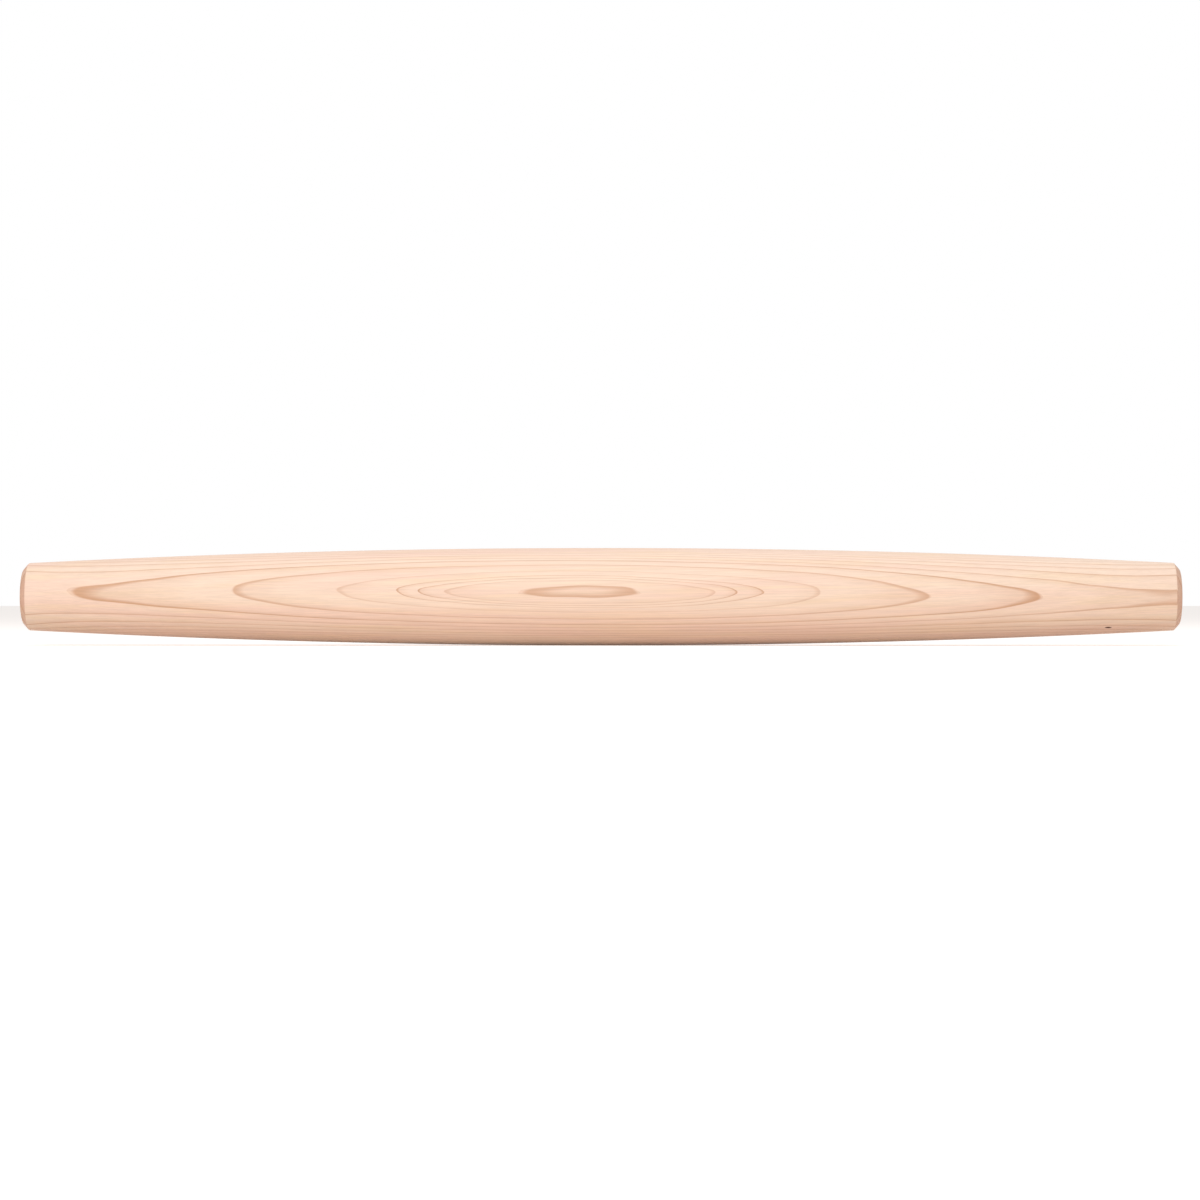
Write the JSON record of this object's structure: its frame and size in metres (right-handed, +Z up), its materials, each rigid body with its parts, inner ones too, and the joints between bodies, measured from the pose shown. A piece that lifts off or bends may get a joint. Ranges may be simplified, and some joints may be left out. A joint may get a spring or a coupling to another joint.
{
  "type": "french rolling pin",
  "caption": "Turned solid maple rolling pin without handles: a barrel that swells in one long curve to the middle, with a flat chamfered face at each end, for rolling out dough.",
  "frame": {"origin": "centre of the pin, on its turning axis, halfway between the two end faces", "axes": "+X along the turning axis, +Z up as the pin lies on a worktop, and the pictured side faces -Y"},
  "size_m": [0.5206, 0.0438, 0.044],
  "materials": {
    "maple": "satin"
  },
  "bodies": {
    "root": {"rolling_pin": "maple"}
  },
  "joints": []
}
